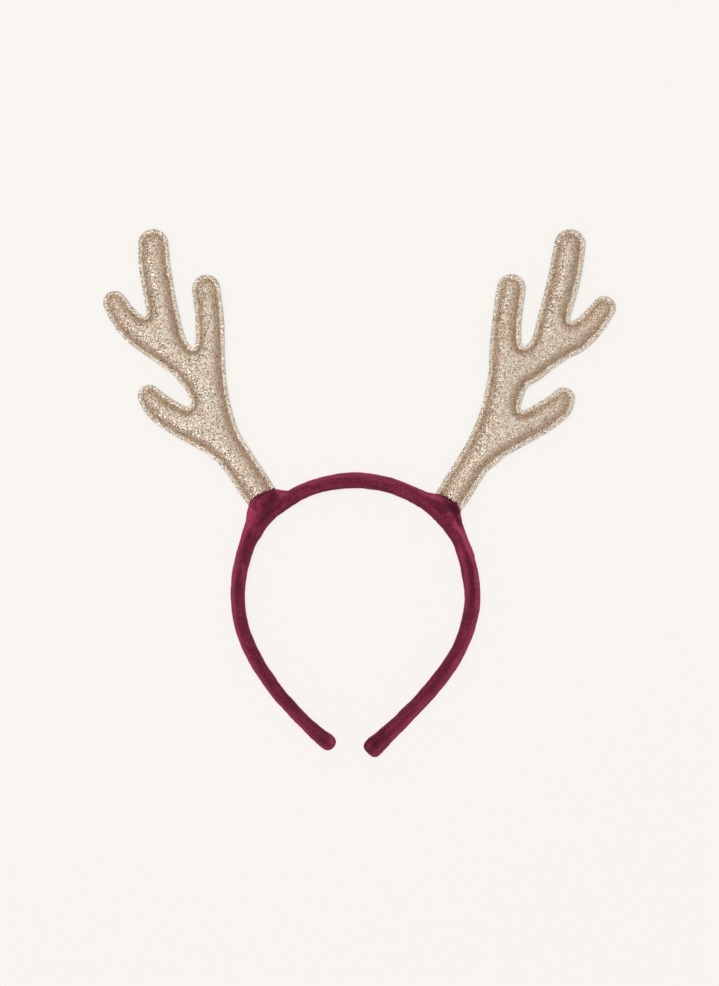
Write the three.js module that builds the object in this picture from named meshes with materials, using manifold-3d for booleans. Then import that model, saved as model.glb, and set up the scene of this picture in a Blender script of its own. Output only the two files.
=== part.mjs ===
// A reindeer antler headband: a padded velvet band that lies on its side, with two padded glitter
// antlers whose feet stand in sleeves of the band's own velvet. Millimetres. X runs across the head,
// Y from the tips of the band towards the antlers, and Z up from the table that the headband lies on.
import * as THREE from 'three';
import { mergeVertices } from 'three/addons/utils/BufferGeometryUtils.js';
import Module from 'manifold-3d';

const wasm = await Module();
wasm.setup();

// Sizes of the band
const bandWidth = 129.5; // outside, where it is widest
const bandHeight = 147.5; // from the crown to the tips
const bandThickness = 7.8; // away from the head
const bandDepth = 12.4; // across the band
const headSideFlat = 0.5; // how much the side towards the head is flattened
const tableSideFlat = 0.4; // how much the pile gives way where the band lies on the table
const plainRoundness = 2.6; // superellipse exponent of the band's section, 2 is an ellipse
const sleeveRoundness = 7; // the same at the middle of a sleeve, which is nearly a box
const sleeveRise = 6.1; // how far a sleeve's rim stands out from the band
const sleeveWall = 1.4; // cloth and padding over a foot, above and below it

// Sizes of the antlers
const antlerHeight = 147; // from the middle of the band to the highest tip
const tineWidth = 15.6; // across a tine, its seam allowance included
const antlerThickness = 9; // through a tine, front to back
const footEnd = 1.6; // how far the foot stops short of the middle of the band
const seamAllowance = 2.4; // the flat rim outside the seam
const clothThickness = 0.9; // one layer of glitter cloth with its backing
const seamDip = 0.1; // how deep the seam is pulled into the rim
const webSize = 5; // how softly two tines run into each other
const footCorner = 2; // how softly the foot's end is cut
const panelGap = 0.3; // between the front and the back panel
const sleeveClearance = 0.3; // between a foot and its sleeve

// How finely the faces are cut
const sectionPoints = 16;
const stepsPerRow = 2;
const outlinePoints = 152;
const traceStep = tineWidth / 26; // between the points of an outline as it is first walked round
const limbSteps = 6;
const turnWeight = 9; // millimetres of straight outline that count like one radian of turn

// The band from its left tip over the crown to its right tip. x is a share of half the band's width and
// y of its height, down from the crown; thick and deep are shares of bandThickness and bandDepth. An
// antler stands on each row that has a seat.
const bandRows = [
  { x: -0.186, y: -0.960, thick: 0.60, deep: 0.60 },
  { x: -0.205, y: -0.955, thick: 0.94, deep: 0.88 },
  { x: -0.242, y: -0.942, thick: 1.06, deep: 1 },
  { x: -0.283, y: -0.928, thick: 1.03, deep: 1 },
  { x: -0.452, y: -0.858, thick: 0.92, deep: 1 },
  { x: -0.658, y: -0.755, thick: 0.92, deep: 1 },
  { x: -0.814, y: -0.650, thick: 0.95, deep: 1 },
  { x: -0.919, y: -0.538, thick: 0.94, deep: 1 },
  { x: -0.950, y: -0.438, thick: 0.96, deep: 1 },
  { x: -0.932, y: -0.341, thick: 1, deep: 1 },
  { x: -0.871, y: -0.248, thick: 1.02, deep: 1 },
  { x: -0.790, y: -0.189, thick: 1, deep: 1 },
  { x: -0.728, y: -0.155, thick: 1, deep: 1 },
  { x: -0.675, y: -0.132, thick: 1, deep: 1, seat: 'left' },
  { x: -0.614, y: -0.112, thick: 1, deep: 1 },
  { x: -0.566, y: -0.098, thick: 0.99, deep: 1 },
  { x: -0.517, y: -0.083, thick: 1.02, deep: 1 },
  { x: -0.452, y: -0.066, thick: 1.01, deep: 1 },
  { x: -0.290, y: -0.039, thick: 1, deep: 1 },
  { x: -0.022, y: -0.022, thick: 1.06, deep: 1 },
  { x: 0.256, y: -0.038, thick: 1.03, deep: 1 },
  { x: 0.425, y: -0.067, thick: 1.05, deep: 1 },
  { x: 0.546, y: -0.094, thick: 1.08, deep: 1 },
  { x: 0.595, y: -0.111, thick: 1.07, deep: 1 },
  { x: 0.640, y: -0.128, thick: 1.10, deep: 1 },
  { x: 0.687, y: -0.148, thick: 1.12, deep: 1, seat: 'right' },
  { x: 0.721, y: -0.164, thick: 1.12, deep: 1 },
  { x: 0.762, y: -0.186, thick: 1.10, deep: 1 },
  { x: 0.836, y: -0.237, thick: 1.03, deep: 1 },
  { x: 0.883, y: -0.294, thick: 1.10, deep: 1 },
  { x: 0.914, y: -0.357, thick: 1.12, deep: 1 },
  { x: 0.933, y: -0.442, thick: 1.07, deep: 1 },
  { x: 0.903, y: -0.525, thick: 1.05, deep: 1 },
  { x: 0.824, y: -0.619, thick: 1, deep: 1 },
  { x: 0.705, y: -0.702, thick: 1.05, deep: 1 },
  { x: 0.515, y: -0.802, thick: 1.03, deep: 1 },
  { x: 0.325, y: -0.886, thick: 1.09, deep: 1 },
  { x: 0.219, y: -0.931, thick: 1.20, deep: 1 },
  { x: 0.141, y: -0.961, thick: 1.36, deep: 1 },
  { x: 0.110, y: -0.974, thick: 1.27, deep: 0.93 },
  { x: 0.094, y: -0.981, thick: 0.98, deep: 0.70 },
];

// The sleeves' rims. along is how far a point of the rim is from the antler's seat, towards the tip of the
// band, as a share of tineWidth, and rise is how far it stands out, as a share of sleeveRise.
const sleeveRows = {
  left: [
    { along: -0.80, rise: 0 },
    { along: -0.56, rise: 0.63 },
    { along: -0.31, rise: 0.96 },
    { along: 0, rise: 1.08 },
    { along: 0.31, rise: 1.18 },
    { along: 0.50, rise: 1.08 },
    { along: 0.76, rise: 0.53 },
    { along: 1.37, rise: 0.09 },
    { along: 2.20, rise: 0 },
  ],
  right: [
    { along: -1.34, rise: 0 },
    { along: -0.78, rise: 0.10 },
    { along: -0.52, rise: 0.39 },
    { along: -0.27, rise: 0.65 },
    { along: 0, rise: 0.78 },
    { along: 0.21, rise: 0.73 },
    { along: 0.47, rise: 0.46 },
    { along: 1.04, rise: 0.03 },
    { along: 1.65, rise: 0 },
  ],
};

// The middle line of each limb of an antler, from its root to its tip. x, outwards, and y, up, are
// shares of antlerHeight from the seat on the band, and width is a share of tineWidth.
const leftLimbs = {
  trunk: [
    { x: 0, y: 0, width: 0.80 },
    { x: 0.021, y: 0.029, width: 0.82 },
    { x: 0.042, y: 0.058, width: 1.07 },
    { x: 0.104, y: 0.151, width: 1.10 },
    { x: 0.170, y: 0.250, width: 1.18 },
    { x: 0.207, y: 0.346, width: 1.26 },
    { x: 0.222, y: 0.442, width: 1.20 },
    { x: 0.219, y: 0.558, width: 1.00 },
    { x: 0.220, y: 0.672, width: 0.97 },
    { x: 0.233, y: 0.785, width: 0.96 },
  ],
  tall: [
    { x: 0.231, y: 0.417, width: 0.80 },
    { x: 0.299, y: 0.504, width: 0.85 },
    { x: 0.353, y: 0.594, width: 1.00 },
    { x: 0.382, y: 0.689, width: 1.07 },
    { x: 0.402, y: 0.785, width: 1.06 },
    { x: 0.415, y: 0.866, width: 1.07 },
    { x: 0.420, y: 0.943, width: 1.03 },
  ],
  outer: [
    { x: 0.359, y: 0.552, width: 0.90 },
    { x: 0.422, y: 0.597, width: 1.02 },
    { x: 0.478, y: 0.636, width: 0.98 },
    { x: 0.526, y: 0.692, width: 0.90 },
    { x: 0.556, y: 0.737, width: 0.81 },
  ],
  lower: [
    { x: 0.197, y: 0.251, width: 1.00 },
    { x: 0.302, y: 0.306, width: 1.04 },
    { x: 0.369, y: 0.344, width: 1.02 },
    { x: 0.407, y: 0.377, width: 0.93 },
    { x: 0.435, y: 0.410, width: 0.80 },
  ],
};

const rightLimbs = {
  trunk: [
    { x: 0, y: 0, width: 0.80 },
    { x: 0.016, y: 0.024, width: 0.82 },
    { x: 0.033, y: 0.049, width: 1.07 },
    { x: 0.084, y: 0.140, width: 1.11 },
    { x: 0.140, y: 0.233, width: 1.10 },
    { x: 0.185, y: 0.330, width: 1.13 },
    { x: 0.218, y: 0.419, width: 1.28 },
    { x: 0.227, y: 0.504, width: 1.17 },
    { x: 0.226, y: 0.599, width: 1.08 },
    { x: 0.231, y: 0.688, width: 1.00 },
    { x: 0.246, y: 0.802, width: 0.99 },
  ],
  tall: [
    { x: 0.228, y: 0.440, width: 0.80 },
    { x: 0.307, y: 0.529, width: 0.90 },
    { x: 0.364, y: 0.605, width: 0.90 },
    { x: 0.391, y: 0.686, width: 1.03 },
    { x: 0.413, y: 0.758, width: 1.08 },
    { x: 0.433, y: 0.835, width: 1.10 },
    { x: 0.447, y: 0.914, width: 1.09 },
    { x: 0.454, y: 0.957, width: 1.06 },
  ],
  outer: [
    { x: 0.321, y: 0.522, width: 0.90 },
    { x: 0.422, y: 0.599, width: 1.00 },
    { x: 0.474, y: 0.626, width: 1.00 },
    { x: 0.526, y: 0.674, width: 0.94 },
    { x: 0.573, y: 0.733, width: 0.84 },
  ],
  lower: [
    { x: 0.193, y: 0.260, width: 1.03 },
    { x: 0.310, y: 0.318, width: 1.04 },
    { x: 0.371, y: 0.355, width: 1.03 },
    { x: 0.414, y: 0.390, width: 0.94 },
    { x: 0.433, y: 0.416, width: 0.82 },
  ],
};

// The padding's slope in from the seam: how far in, as a share of the way to the middle of a plain tine,
// and how high, as a share of half the antler's thickness.
const puffSlope = [
  { along: 0.13, height: 0.50 },
  { along: 0.31, height: 0.79 },
  { along: 0.54, height: 0.95 },
];
const crown = { along: 1.72, height: 1.12 }; // where the padding is widest

// Materials
const velvet = new THREE.MeshStandardMaterial({ color: 0x6e1f38, roughness: 0.95 });
const glitterCloth = new THREE.MeshStandardMaterial({ color: 0xc9ae8a, roughness: 0.45, metalness: 0.35 });

// Meshes and solids

// A closed mesh through rings of equally many points, with a triangulated cap on each end.
function loft(rings, firstCap, lastCap) {
  const count = rings[0].length;
  const positions = rings.flat().concat(lastCap.extra ?? []).flatMap((p) => [p.x, p.y, p.z]);
  const indices = [];
  for (let r = 1; r < rings.length; r++) {
    for (let i = 0; i < count; i++) {
      const a = (r - 1) * count + i;
      const b = (r - 1) * count + ((i + 1) % count);
      indices.push(a, b, b + count, a, b + count, a + count);
    }
  }
  const last = (rings.length - 1) * count;
  firstCap.faces.forEach(([a, b, c]) => indices.push(a, c, b));
  lastCap.faces.forEach(([a, b, c]) => indices.push(last + a, last + b, last + c));
  const geometry = new THREE.BufferGeometry();
  geometry.setAttribute('position', new THREE.Float32BufferAttribute(positions, 3));
  geometry.setIndex(indices);
  return geometry;
}

// A flat cap over a ring.
function flatCap(contour) {
  return { faces: THREE.ShapeUtils.triangulateShape(contour, []) };
}

// A cap over a ring that is split once more along its inner edges, with the new points at heightAt.
function domedCap(ring, heightAt) {
  const extra = [];
  const middles = new Map();
  const faces = [];
  const middleOf = (a, b) => {
    const apart = Math.abs(a - b);
    if (apart === 1 || apart === ring.length - 1) return null;
    const key = Math.min(a, b) + ' ' + Math.max(a, b);
    if (!middles.has(key)) {
      const middle = ring[a].clone().lerp(ring[b], 0.5);
      middle.z = heightAt(middle);
      middles.set(key, ring.length + extra.length);
      extra.push(middle);
    }
    return middles.get(key);
  };
  for (const [a, b, c] of THREE.ShapeUtils.triangulateShape(ring, [])) {
    const corners = [middleOf(a, b), b, middleOf(b, c), c, middleOf(c, a), a];
    const first = corners.findIndex((corner, k) => k % 2 === 0 && corner !== null);
    const turned = [...corners.slice(first), ...corners.slice(0, first)].filter((corner) => corner !== null);
    for (let k = 2; k < turned.length; k++) faces.push([turned[0], turned[k - 1], turned[k]]);
  }
  return { faces, extra };
}

function solidOf(geometry) {
  const merged = mergeVertices(geometry, 1e-4);
  return new wasm.Manifold(
    new wasm.Mesh({
      numProp: 3,
      vertProperties: merged.attributes.position.array,
      triVerts: new Uint32Array(merged.index.array),
    }),
  );
}

function geometryOf(solid) {
  const mesh = solid.getMesh();
  const geometry = new THREE.BufferGeometry();
  geometry.setAttribute('position', new THREE.BufferAttribute(mesh.vertProperties, 3));
  geometry.setIndex(new THREE.BufferAttribute(mesh.triVerts, 1));
  return geometry;
}

function meshOf(name, geometry, material) {
  const faceted = geometry.toNonIndexed();
  faceted.computeVertexNormals();
  const mesh = new THREE.Mesh(faceted, material);
  mesh.name = name;
  return mesh;
}

// The band

function bandPoint(row) {
  return new THREE.Vector3((row.x * bandWidth) / 2, row.y * bandHeight, 0);
}

// A point of a superellipse with half axes a and b.
function superellipsePoint(a, b, roundness, angle) {
  const power = (value) => Math.sign(value) * Math.abs(value) ** (2 / roundness);
  return new THREE.Vector2(a * power(Math.cos(angle)), b * power(Math.sin(angle)));
}

// The band's section, x away from the head and y up, flattened towards the head and the table.
function bandSection({ thick, deep, rise }) {
  const thickness = thick * bandThickness;
  const standOut = rise * sleeveRise;
  const inSleeve = Math.min(rise, 1);
  const sleeveDepth = antlerThickness + 2 * (sleeveClearance + sleeveWall);
  const depth = THREE.MathUtils.lerp(deep * bandDepth, sleeveDepth, inSleeve);
  const roundness = THREE.MathUtils.lerp(plainRoundness, sleeveRoundness, inSleeve);
  const section = [];
  for (let i = 0; i < sectionPoints; i++) {
    const angle = (2 * Math.PI * i) / sectionPoints;
    const point = superellipsePoint((thickness + standOut) / 2, depth / 2, roundness, angle);
    point.x = Math.max(point.x + standOut / 2, headSideFlat - thickness / 2);
    point.y = Math.max(point.y, tableSideFlat - bandDepth / 2);
    section.push(point);
  }
  return section;
}

// How far the sleeve on a seat stands out, as a share of sleeveRise, at a distance along the band from it.
function sleeveRiseAt(rows, distance) {
  const rim = new THREE.SplineCurve(rows.map((row) => new THREE.Vector2(row.along * tineWidth, row.rise)));
  const points = rim.getPoints(12 * rows.length);
  const after = points.findIndex((point) => point.x >= distance);
  if (after < 1) return 0;
  const share = (distance - points[after - 1].x) / (points[after].x - points[after - 1].x);
  return Math.max(THREE.MathUtils.lerp(points[after - 1].y, points[after].y, share), 0);
}

function bandSolid() {
  const path = new THREE.CatmullRomCurve3(bandRows.map(bandPoint));
  const shape = new THREE.CatmullRomCurve3(bandRows.map((row) => new THREE.Vector3(row.thick, row.deep, 0)));
  const up = new THREE.Vector3(0, 0, 1);
  const steps = (bandRows.length - 1) * stepsPerRow;
  path.arcLengthDivisions = steps;
  const lengths = path.getLengths();
  const seatLength = (side) => lengths[bandRows.findIndex((row) => row.seat === side) * stepsPerRow];
  const rings = [];
  const sections = [];
  for (let i = 0; i <= steps; i++) {
    const middle = path.getPoint(i / steps);
    const outwards = up.clone().cross(path.getTangent(i / steps));
    const { x: thick, y: deep } = shape.getPoint(i / steps);
    const rise = Math.max(
      sleeveRiseAt(sleeveRows.left, seatLength('left') - lengths[i]),
      sleeveRiseAt(sleeveRows.right, lengths[i] - seatLength('right')),
    );
    const section = bandSection({ thick, deep, rise });
    sections.push(section);
    rings.push(
      section.map((point) => middle.clone().addScaledVector(outwards, point.x).addScaledVector(up, point.y)),
    );
  }
  return solidOf(loft(rings, flatCap(sections[0]), flatCap(sections.at(-1))));
}

// The antlers

// A limb's middle line as closely spaced stations with half the width at each.
function limbStations(rows) {
  const line = new THREE.CatmullRomCurve3(
    rows.map((row) => new THREE.Vector3(row.x * antlerHeight, row.y * antlerHeight, (row.width * tineWidth) / 2)),
  );
  return line.getPoints((rows.length - 1) * limbSteps);
}

// Distance from a point to the edge of a limb, negative inside it. A station's z is its half width.
function limbDistance(point, stations) {
  let nearest = Infinity;
  for (let i = 1; i < stations.length; i++) {
    const a = stations[i - 1];
    const dx = stations[i].x - a.x;
    const dy = stations[i].y - a.y;
    const along = ((point.x - a.x) * dx + (point.y - a.y) * dy) / (dx * dx + dy * dy);
    const t = Math.min(Math.max(along, 0), 1);
    const half = a.z + (stations[i].z - a.z) * t;
    nearest = Math.min(nearest, Math.hypot(point.x - a.x - dx * t, point.y - a.y - dy * t) - half);
  }
  return nearest;
}

// The smaller of two distances, rounded off over the given size where they are alike.
function softMin(a, b, size) {
  const mix = Math.max(size - Math.abs(a - b), 0) / size;
  return Math.min(a, b) - (mix * mix * size) / 4;
}

// Distance to the edge of a whole antler: its limbs run together, and the foot is cut straight.
function antlerField(limbs) {
  const stations = Object.values(limbs).map(limbStations);
  const root = new THREE.Vector2(limbs.trunk[1].x, limbs.trunk[1].y).normalize();
  return (point) => {
    const body = stations
      .map((limb) => limbDistance(point, limb))
      .reduce((whole, limb) => softMin(whole, limb, webSize));
    const cut = footEnd - point.x * root.x - point.y * root.y;
    return -softMin(-body, -cut, footCorner);
  };
}

function slopeOf(field, point) {
  const reach = 0.01;
  const slope = new THREE.Vector2(
    field({ x: point.x + reach, y: point.y }) - field({ x: point.x - reach, y: point.y }),
    field({ x: point.x, y: point.y + reach }) - field({ x: point.x, y: point.y - reach }),
  );
  return slope.divideScalar(2 * reach);
}

// Moves a point along the field's slope until it lies at the given level.
function toLevel(field, level, point) {
  const moved = point.clone();
  for (let i = 0; i < 8; i++) {
    const slope = slopeOf(field, moved);
    moved.addScaledVector(slope, (level - field(moved)) / Math.max(slope.lengthSq(), 0.25));
  }
  return moved;
}

// Walks once round the edge of the field, anticlockwise, in short steps.
function traceEdge(field, start) {
  const edge = [toLevel(field, 0, start)];
  const longest = (20 * antlerHeight) / traceStep;
  do {
    if (edge.length > longest) throw new Error("an antler's edge does not close");
    const slope = slopeOf(field, edge.at(-1)).normalize();
    const ahead = edge.at(-1).clone().add(new THREE.Vector2(-slope.y, slope.x).multiplyScalar(traceStep));
    edge.push(toLevel(field, 0, ahead));
  } while (edge.length < 10 || edge.at(-1).distanceTo(edge[0]) > traceStep);
  return edge;
}

// Picks count points from a loop, closer together where it turns.
function thinned(loop, count) {
  const measures = [0];
  for (let i = 1; i <= loop.length; i++) {
    const before = loop[(i - 1) % loop.length].clone().sub(loop.at(i - 2));
    const after = loop[i % loop.length].clone().sub(loop[(i - 1) % loop.length]);
    const turn = Math.abs(Math.atan2(before.cross(after), before.dot(after)));
    measures.push(measures.at(-1) + after.length() + turn * turnWeight);
  }
  const picked = [];
  for (let k = 0, i = 0; k < count; k++) {
    const wanted = (measures.at(-1) * k) / count;
    while (measures[i + 1] <= wanted) i++;
    const share = (wanted - measures[i]) / (measures[i + 1] - measures[i]);
    picked.push(loop[i].clone().lerp(loop[(i + 1) % loop.length], share));
  }
  return picked;
}

// A ring at the given level that follows another ring, with its points evened out.
function ringAt(field, level, ring) {
  let moved = ring.map((point) => toLevel(field, level, point));
  for (let round = 0; round < 2; round++) {
    moved = moved.map((point, i) => {
      const neighbours = moved.at(i - 1).clone().add(moved[(i + 1) % moved.length]).multiplyScalar(0.5);
      return toLevel(field, level, point.clone().lerp(neighbours, 0.5));
    });
  }
  return moved;
}

// Half of an antler, flat at the height base and padded upwards, with all its faces moved out by grow.
function antlerHalf(field, outline, base, grow) {
  const toMiddle = tineWidth / 2 - seamAllowance;
  const insetAt = (along) => seamAllowance + along * toMiddle;
  const heightAt = (share) => grow + (share * antlerThickness) / 2;
  const top = puffSlope.at(-1);
  const domeHeight = (point) => {
    const along = (-field(point) - seamAllowance) / toMiddle;
    const share = THREE.MathUtils.clamp((along - top.along) / (crown.along - top.along), 0, 1);
    return heightAt(THREE.MathUtils.lerp(top.height, crown.height, Math.sqrt(share * (2 - share))));
  };
  const profile = [
    { inset: 0, z: base },
    { inset: 0, z: grow + clothThickness },
    { inset: seamAllowance, z: grow + clothThickness - seamDip },
    ...puffSlope.map(({ along, height }) => ({ inset: insetAt(along), z: heightAt(height) })),
  ];
  let ring = grow > 0 ? ringAt(field, grow, outline) : outline;
  const rings = profile.map(({ inset, z }) => {
    if (inset > 0) ring = ringAt(field, grow - inset, ring);
    return ring.map((point) => new THREE.Vector3(point.x, point.y, z));
  });
  return loft(rings, flatCap(rings[0]), domedCap(rings.at(-1), domeHeight));
}

// One antler standing on its seat. outwards is 1 for the right one and -1 for the left one, and the
// front panel faces up.
function makeAntler(limbs, seat, outwards) {
  const field = antlerField(limbs);
  const start = new THREE.Vector2(limbs.trunk[3].x, limbs.trunk[3].y).multiplyScalar(antlerHeight);
  start.x += tineWidth / 2;
  const outline = thinned(traceEdge(field, start), outlinePoints);
  const panel = solidOf(antlerHalf(field, outline, panelGap / 2, 0));
  const cutter = solidOf(antlerHalf(field, outline, 0, sleeveClearance));
  const placed = (half, facing) => {
    const place = new THREE.Matrix4().makeScale(outwards, 1, facing).setPosition(seat);
    return half.transform(place.elements);
  };
  return {
    front: placed(panel, 1),
    back: placed(panel, -1),
    pocket: placed(cutter, 1).add(placed(cutter, -1)),
  };
}

const seatOf = (side) => bandPoint(bandRows.find((row) => row.seat === side));
const left = makeAntler(leftLimbs, seatOf('left'), -1);
const right = makeAntler(rightLimbs, seatOf('right'), 1);
const band = bandSolid().subtract(left.pocket).subtract(right.pocket);

const headband = new THREE.Group();
headband.add(meshOf('velvet_band', geometryOf(band), velvet));
headband.add(meshOf('antler_left_front', geometryOf(left.front), glitterCloth));
headband.add(meshOf('antler_left_back', geometryOf(left.back), glitterCloth));
headband.add(meshOf('antler_right_front', geometryOf(right.front), glitterCloth));
headband.add(meshOf('antler_right_back', geometryOf(right.back), glitterCloth));

// The origin is under the middle of the headband, on the table.
const reach = new THREE.Box3().setFromObject(headband);
headband.position.set(-(reach.min.x + reach.max.x) / 2, -(reach.min.y + reach.max.y) / 2, -reach.min.z);

export default headband;
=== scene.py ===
"""A reindeer antler headband: a padded velvet band lying on its side, with two stuffed glitter antlers.

Lengths in the tables are shares of the named sizes, and millimetres until a mesh is made.
"""

import bpy
import numpy as np
from bpy.props import FloatProperty, FloatVectorProperty, PointerProperty
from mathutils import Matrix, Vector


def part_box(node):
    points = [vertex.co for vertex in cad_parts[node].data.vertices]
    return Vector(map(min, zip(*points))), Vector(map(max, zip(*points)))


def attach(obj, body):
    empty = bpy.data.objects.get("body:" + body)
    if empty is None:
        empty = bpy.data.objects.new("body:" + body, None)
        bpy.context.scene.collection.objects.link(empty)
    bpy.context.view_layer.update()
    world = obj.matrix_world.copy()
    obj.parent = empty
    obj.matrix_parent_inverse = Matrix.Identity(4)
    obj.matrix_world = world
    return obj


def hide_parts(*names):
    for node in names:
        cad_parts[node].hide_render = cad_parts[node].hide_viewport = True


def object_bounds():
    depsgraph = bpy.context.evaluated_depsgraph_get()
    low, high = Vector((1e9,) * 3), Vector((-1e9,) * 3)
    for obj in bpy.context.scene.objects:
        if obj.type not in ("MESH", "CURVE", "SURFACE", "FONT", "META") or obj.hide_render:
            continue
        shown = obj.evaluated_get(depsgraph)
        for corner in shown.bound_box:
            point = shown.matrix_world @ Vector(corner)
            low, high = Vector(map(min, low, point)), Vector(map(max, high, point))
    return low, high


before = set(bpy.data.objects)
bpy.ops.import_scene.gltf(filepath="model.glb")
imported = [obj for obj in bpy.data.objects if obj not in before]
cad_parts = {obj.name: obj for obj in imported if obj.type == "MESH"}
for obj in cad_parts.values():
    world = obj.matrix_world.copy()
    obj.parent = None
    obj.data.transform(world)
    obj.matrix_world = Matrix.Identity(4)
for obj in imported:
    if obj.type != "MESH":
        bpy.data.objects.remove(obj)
CAD_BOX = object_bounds()

bl_info = {
    "name": "Reindeer antler headband",
    "version": (1, 0, 0),
    "blender": (4, 5, 0),
    "location": "3D View > Sidebar > Headband",
    "description": "A velvet headband with two stuffed glitter antlers, made to size",
    "category": "Add Mesh",
}

MM = 0.001
CAMERA_LENS = 100
FRAME_HEIGHT = 0.5127  # what the camera sees from top to bottom, metres

# The band from its left tip over the crown to its right tip: x is a share of half its width, y of its
# height, and thick is a share of its thickness.
BAND_ROWS = np.array([
    (-0.23, -0.9462, 1.08), (-0.242, -0.942, 1.08), (-0.284, -0.9285, 1.03),
    (-0.4535, -0.8586, 0.9), (-0.659, -0.7553, 0.91), (-0.8145, -0.65, 0.95),
    (-0.9195, -0.538, 0.945), (-0.9505, -0.438, 0.965), (-0.93, -0.3412, 1.005),
    (-0.869, -0.2484, 1.06), (-0.789, -0.1893, 1.035), (-0.7275, -0.1552, 1.04),
    (-0.675, -0.132, 1.045), (-0.6135, -0.1123, 1.045), (-0.5645, -0.099, 1.025),
    (-0.515, -0.0846, 1.02), (-0.4505, -0.0676, 1.01), (-0.289, -0.0418, 0.995),
    (-0.022, -0.0244, 1.1), (0.255, -0.0405, 1.04), (0.423, -0.0689, 1.055),
    (0.543, -0.0964, 1.08), (0.593, -0.1122, 1.07), (0.6395, -0.1283, 1.1),
    (0.687, -0.148, 1.12), (0.721, -0.164, 1.12), (0.762, -0.186, 1.1),
    (0.8325, -0.2378, 1.03), (0.88, -0.2943, 1.1), (0.915, -0.357, 1.12),
    (0.9345, -0.442, 1.07), (0.9045, -0.5252, 1.05), (0.826, -0.6195, 0.98),
    (0.707, -0.7027, 1.045), (0.5175, -0.8031, 1.015), (0.327, -0.8868, 1.07),
    (0.221, -0.932, 1.18), (0.158, -0.957, 1.32), (0.15, -0.9605, 1.32),
])
SEAT_ROWS = {"left": 12, "right": 24}

# A sleeve's rim: how far along the band from the seat, in tine widths towards the band's tip, and how
# far it stands out, as a share of the sleeve's rise.
SLEEVE_ROWS = {
    "left": np.array([
        (-0.82, 0), (-0.67, 0.31), (-0.51, 0.64), (-0.33, 0.85), (-0.1, 1.11), (0.09, 1.25),
        (0.3, 1.15), (0.5, 0.9), (0.76, 0.5), (1.37, 0.06), (2.2, 0),
    ]),
    "right": np.array([
        (-1.34, 0), (-0.78, 0.13), (-0.59, 0.38), (-0.35, 0.69), (-0.07, 0.87), (0.14, 0.82),
        (0.32, 0.65), (0.5, 0.38), (0.81, 0.12), (1.2, 0), (1.65, 0),
    ]),
}

# The middle line of each limb of an antler: x, outwards, and y are shares of its height from the seat,
# and the last column is a share of the tines' width.
LIMBS = {
    "left": [
        np.array([
            (0, 0, 0.8), (0.021, 0.029, 0.82), (0.042, 0.058, 1.07), (0.104, 0.151, 1.1),
            (0.17, 0.25, 1.18), (0.207, 0.346, 1.26), (0.222, 0.442, 1.2),
            (0.219, 0.558, 1), (0.22, 0.672, 0.97), (0.233, 0.785, 0.96),
        ]),
        np.array([
            (0.232, 0.416, 0.9), (0.3005, 0.5025, 0.97), (0.354, 0.594, 0.99), (0.383, 0.689, 1.06),
            (0.402, 0.785, 1.06), (0.415, 0.866, 1.07), (0.42, 0.943, 1.02),
        ]),
        np.array([
            (0.36, 0.5505, 0.94), (0.422, 0.597, 1.02), (0.478, 0.636, 0.98),
            (0.5275, 0.691, 0.89), (0.556, 0.737, 0.79),
        ]),
        np.array([
            (0.198, 0.2495, 1.07), (0.303, 0.305, 1.06), (0.3695, 0.3435, 1.02),
            (0.409, 0.3755, 0.93), (0.434, 0.4055, 0.78),
        ]),
    ],
    "right": [
        np.array([
            (0, 0, 0.8), (0.0145, 0.0265, 0.82), (0.028, 0.0517, 1.05), (0.084, 0.141, 1.09),
            (0.14, 0.233, 1.1), (0.185, 0.33, 1.13), (0.218, 0.419, 1.28), (0.227, 0.504, 1.17),
            (0.226, 0.599, 1.08), (0.231, 0.688, 1), (0.246, 0.802, 0.99),
        ]),
        np.array([
            (0.228, 0.44, 0.8), (0.307, 0.529, 0.9), (0.3625, 0.606, 0.93), (0.391, 0.686, 1.03),
            (0.413, 0.758, 1.08), (0.433, 0.835, 1.1), (0.447, 0.914, 1.09), (0.454, 0.957, 1.06),
        ]),
        np.array([
            (0.321, 0.522, 0.9), (0.422, 0.599, 1), (0.474, 0.626, 1),
            (0.527, 0.6735, 0.935), (0.574, 0.733, 0.82),
        ]),
        np.array([
            (0.167, 0.2234, 0.89), (0.195, 0.257, 1.09), (0.31, 0.318, 1.04), (0.371, 0.355, 1.03),
            (0.4145, 0.3877, 0.94), (0.4312, 0.4115, 0.79),
        ]),
    ],
}
OUTWARDS = {"left": -1, "right": 1}

# Millimetres
WEB_SIZE = 5  # how softly two tines run into each other
FOOT_END = 1.6  # how far a foot stops short of the middle of the band
FOOT_CORNER = 2  # how round the foot's corners are
HEAD_SIDE_FLAT = 0.15  # how much the head's side of the band is flattened
TABLE_GAP = 0.08  # how far the pile stays above the table
CUT_BACK = 0.1  # how far an antler's cloth is cut back from its drawn outline
TIP_LENGTHS = (4.3, 5.2)  # how far each tip of the band is rounded
ANTLER_CELL = 0.36  # the grid on which an antler is worked out
OUTLINE_STEP = 1.0
GRAIN = 0.030  # how rough the glitter makes the cloth
GRAIN_DRIFT = 0.035  # how far its points wander sideways
PUCKER = 0.08  # how high the gathers beside the seam are
PUCKER_LENGTH = 1.9  # from one gather to the next
SEAM_DEPTH = 0.15
SEAM_WIDTH = 0.38
SEAM_EASE = 0.22  # how softly the wadding begins to rise
LOFT = 4.6  # the most that it rises over the rim
SPREAD = 4.4  # from about how far in from the seam it is level

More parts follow.
